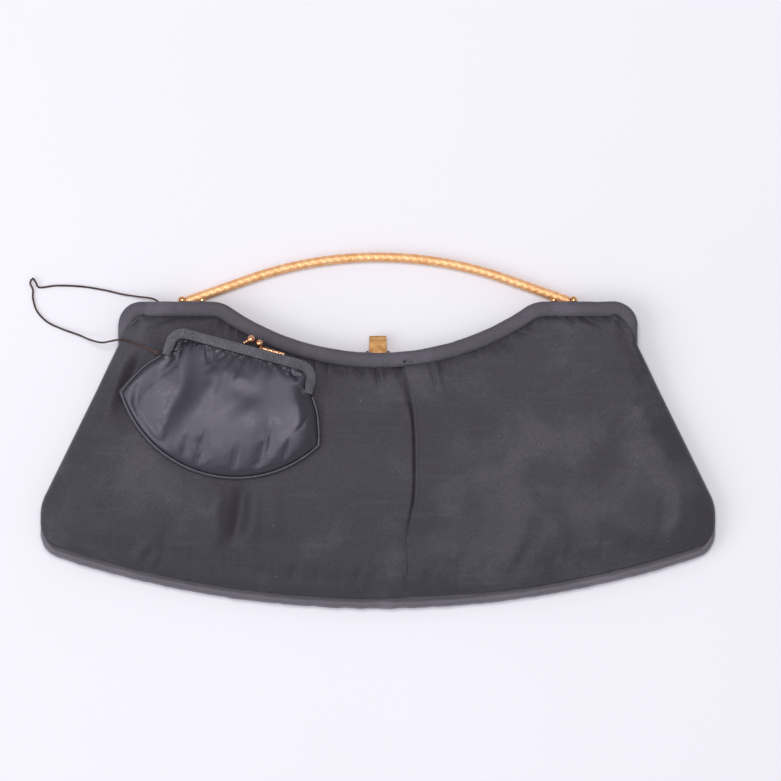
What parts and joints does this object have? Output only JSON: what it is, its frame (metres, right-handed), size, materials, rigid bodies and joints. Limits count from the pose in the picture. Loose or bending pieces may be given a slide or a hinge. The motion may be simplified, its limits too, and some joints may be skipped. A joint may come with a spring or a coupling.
{
  "type": "clutch purse",
  "caption": "Evening frame clutch in gathered satin with an arched swinging handle, a lift clasp and a tethered kiss-lock coin purse.",
  "frame": {"origin": "on the flat back face the bag rests on, on its centre line, 67.9 mm above the lowest point of the bottom edge", "axes": "+X along the bag's width, +Y up to the frame and the handle, +Z out of the bag's front"},
  "size_m": [0.3057, 0.158, 0.0259],
  "materials": {
    "bag_satin": "matte black satin faille, dusty with age",
    "coin_satin": "black satin with a soft sheen",
    "lining_satin": "black acetate lining",
    "interlining": "unbleached cotton interlining",
    "paper_cord": "twisted paper cord",
    "cord": "twisted two-ply silk cord",
    "frame_steel": "plated pressed steel",
    "handle_gilt": "gilt, chased in a wavy twist",
    "clasp_brass": "worn brass",
    "kiss_lock_gilt": "rose gilt"
  },
  "bodies": {
    "bag": {"back_frame": "frame_steel", "frame_rivets": "frame_steel", "back_frame_cover": "bag_satin", "back_paper_cord": "paper_cord", "back_panel": "bag_satin", "front_panel_lower": "bag_satin", "bottom_gusset": "bag_satin", "back_interlining": "interlining", "front_interlining": "interlining", "lining": "lining_satin", "inner_pocket": "lining_satin", "handle_brackets": "handle_gilt", "bracket_rivets": "handle_gilt", "clasp_bracket": "clasp_brass", "clasp_pin": "clasp_brass", "cord_anchor": "cord", "tether_cord": "cord"},
    "front_jaw": {"front_frame": "frame_steel", "front_frame_cover": "bag_satin", "front_paper_cord": "paper_cord", "front_panel_upper": "bag_satin", "clasp_catch": "clasp_brass"},
    "handle": {"handle_bar": "handle_gilt", "handle_pins": "handle_gilt"},
    "clasp": {"clasp_tab": "clasp_brass"},
    "coin_purse": {"coin_back_frame": "frame_steel", "coin_back_cover": "coin_satin", "coin_rivets": "frame_steel", "coin_back_panel": "coin_satin", "coin_front_panel_lower": "coin_satin", "coin_seam": "coin_satin", "coin_lining": "lining_satin", "kiss_lock_back": "kiss_lock_gilt", "cord_knot": "cord", "tether_cord_purse_end": "cord"},
    "coin_jaw": {"coin_front_frame": "frame_steel", "coin_front_cover": "coin_satin", "coin_front_panel_upper": "coin_satin", "kiss_lock_front": "kiss_lock_gilt"}
  },
  "joints": [
    {"name": "frame_open", "type": "hinge", "parent": "bag", "child": "front_jaw", "pos_m": [0, 0.0356, 0.006], "axis": [1, 0, 0], "range_deg": [0, 60]},
    {"name": "handle_swing", "type": "hinge", "parent": "bag", "child": "handle", "pos_m": [0, 0.0688, 0.0034], "axis": [1, 0, 0], "range_deg": [-80, 50]},
    {"name": "clasp_lift", "type": "hinge", "parent": "bag", "child": "clasp", "pos_m": [0, 0.0452, 0.0036], "axis": [-1, 0, 0], "range_deg": [0, 40]},
    {"name": "coin_purse_tip", "type": "hinge", "parent": "bag", "child": "coin_purse", "pos_m": [-0.07, -0.012, 0.019], "axis": [1, 0, 0], "range_deg": [0, 26]},
    {"name": "coin_purse_open", "type": "hinge", "parent": "coin_purse", "child": "coin_jaw", "pos_m": [-0.06175, 0.03695, 0.01769], "axis": [0.9647, -0.2621, 0.0252], "range_deg": [0, 60]}
  ],
  "couplings": [
    {"joint": "coin_purse_tip", "follows": "frame_open", "ratio": 0.42}
  ]
}
